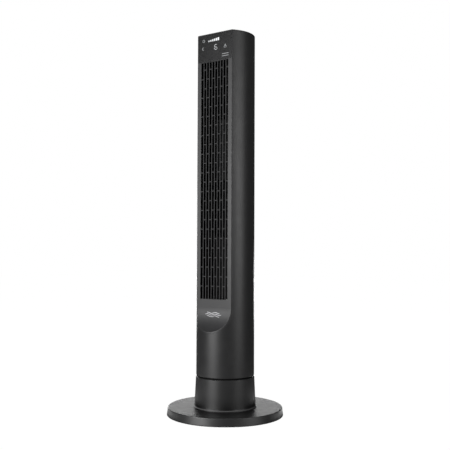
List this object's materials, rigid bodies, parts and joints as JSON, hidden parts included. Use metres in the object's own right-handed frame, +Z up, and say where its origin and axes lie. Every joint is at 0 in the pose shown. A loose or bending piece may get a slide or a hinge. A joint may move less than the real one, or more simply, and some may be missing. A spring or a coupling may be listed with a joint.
{
  "type": "tower fan",
  "caption": "Slim upright tower fan: round column with a flat slotted front and a display on top, on a round weighted base that it swings on.",
  "frame": {"origin": "centre of the base where its feet stand on the floor", "axes": "+Z up along the column, the fan blows towards -Y, +X to the right of someone looking at its front"},
  "size_m": [0.278, 0.278, 0.914],
  "materials": {
    "body_plastic": "satin black, lightly textured",
    "fascia_plastic": "satin charcoal",
    "grille_plastic": "satin black",
    "lens": "smooth, smoked",
    "button_plastic": "satin",
    "badge_silver": "satin",
    "lamp_white": "lit light pipe",
    "rubber": "matt",
    "dark_frame": "matt",
    "ballast_steel": "rolled",
    "zinc_screw": "zinc plated",
    "bright_steel": "ground",
    "acetal": "natural white",
    "bronze": "sintered",
    "motor_zinc": "galvanised",
    "core_steel": "laminated",
    "copper": "enamelled wire",
    "impeller_plastic": "satin",
    "circuit_green": "lacquered",
    "switch_black": "matt"
  },
  "bodies": {
    "base": {"base_cover": "body_plastic", "base_weight": "ballast_steel", "base_bottom_plate": "dark_frame", "rubber_feet": "rubber", "base_screws": "zinc_screw", "neck_shell": "body_plastic", "cord_gland": "body_plastic", "pivot_plate": "dark_frame", "pivot_bush": "acetal", "slide_ring": "acetal", "swing_gear": "acetal"},
    "swing_pinion": {"swing_pinion": "acetal"},
    "tower": {"swing_motor": "motor_zinc", "turntable": "dark_frame", "pivot_tube": "bright_steel", "retaining_ring": "bright_steel", "front_housing": "body_plastic", "rear_housing": "body_plastic", "column_screws": "zinc_screw", "rear_grille": "body_plastic", "carry_handle": "body_plastic", "front_fascia": "fascia_plastic", "front_grille": "grille_plastic", "display_panel": "lens", "display_lights": "lamp_white", "display_board": "circuit_green", "badge": "badge_silver", "top_cap": "body_plastic", "button_board": "circuit_green", "tact_switches": "switch_black", "motor_lower_cover": "motor_zinc", "motor_upper_cover": "motor_zinc", "motor_stator": "core_steel", "motor_windings": "copper", "shaft_bushes": "bronze", "top_bearing_rubber": "rubber", "motor_bracket": "dark_frame", "motor_grommets": "rubber", "motor_screws": "zinc_screw", "duct_floor": "dark_frame", "duct_roof": "dark_frame", "volute_wall": "dark_frame", "vortex_wall": "dark_frame", "run_capacitor": "switch_black", "power_board": "circuit_green", "wiring_loom": "switch_black"},
    "blower": {"impeller_segment_1": "impeller_plastic", "impeller_segment_2": "impeller_plastic", "impeller_segment_3": "impeller_plastic", "impeller_segment_4": "impeller_plastic", "impeller_end_disc": "impeller_plastic", "impeller_axle": "bright_steel", "impeller_hub": "impeller_plastic", "motor_shaft": "bright_steel", "motor_rotor": "core_steel"},
    "timer_button": {"timer_button": "button_plastic"},
    "mode_button": {"mode_button": "button_plastic"},
    "power_button": {"power_button": "button_plastic"},
    "speed_button": {"speed_button": "button_plastic"},
    "swing_button": {"swing_button": "button_plastic"}
  },
  "joints": [
    {"name": "column_swing", "type": "hinge", "parent": "base", "child": "tower", "pos_m": [0, 0, 0.0988], "axis": [0, 0, 1], "range_deg": [-40, 40]},
    {"name": "pinion_spin", "type": "hinge", "parent": "tower", "child": "swing_pinion", "pos_m": [0, -0.036, 0.0914], "axis": [0, 0, 1], "range_deg": [-120.5, 120.5]},
    {"name": "blower_spin", "type": "hinge", "parent": "tower", "child": "blower", "pos_m": [0, 0.008, 0.282], "axis": [0, 0, 1], "continuous": true},
    {"name": "timer_press", "type": "slide", "parent": "tower", "child": "timer_button", "axis": [0, 0, -1], "range_m": [0, 0.0008], "stiffness_N_per_m": 900, "springref_m": -0.0006},
    {"name": "mode_press", "type": "slide", "parent": "tower", "child": "mode_button", "axis": [0, 0, -1], "range_m": [0, 0.0008], "stiffness_N_per_m": 900, "springref_m": -0.0006},
    {"name": "power_press", "type": "slide", "parent": "tower", "child": "power_button", "axis": [0, 0, -1], "range_m": [0, 0.0008], "stiffness_N_per_m": 900, "springref_m": -0.0006},
    {"name": "speed_press", "type": "slide", "parent": "tower", "child": "speed_button", "axis": [0, 0, -1], "range_m": [0, 0.0008], "stiffness_N_per_m": 900, "springref_m": -0.0006},
    {"name": "swing_press", "type": "slide", "parent": "tower", "child": "swing_button", "axis": [0, 0, -1], "range_m": [0, 0.0008], "stiffness_N_per_m": 900, "springref_m": -0.0006}
  ],
  "couplings": [
    {"joint": "pinion_spin", "follows": "column_swing", "ratio": 3}
  ]
}
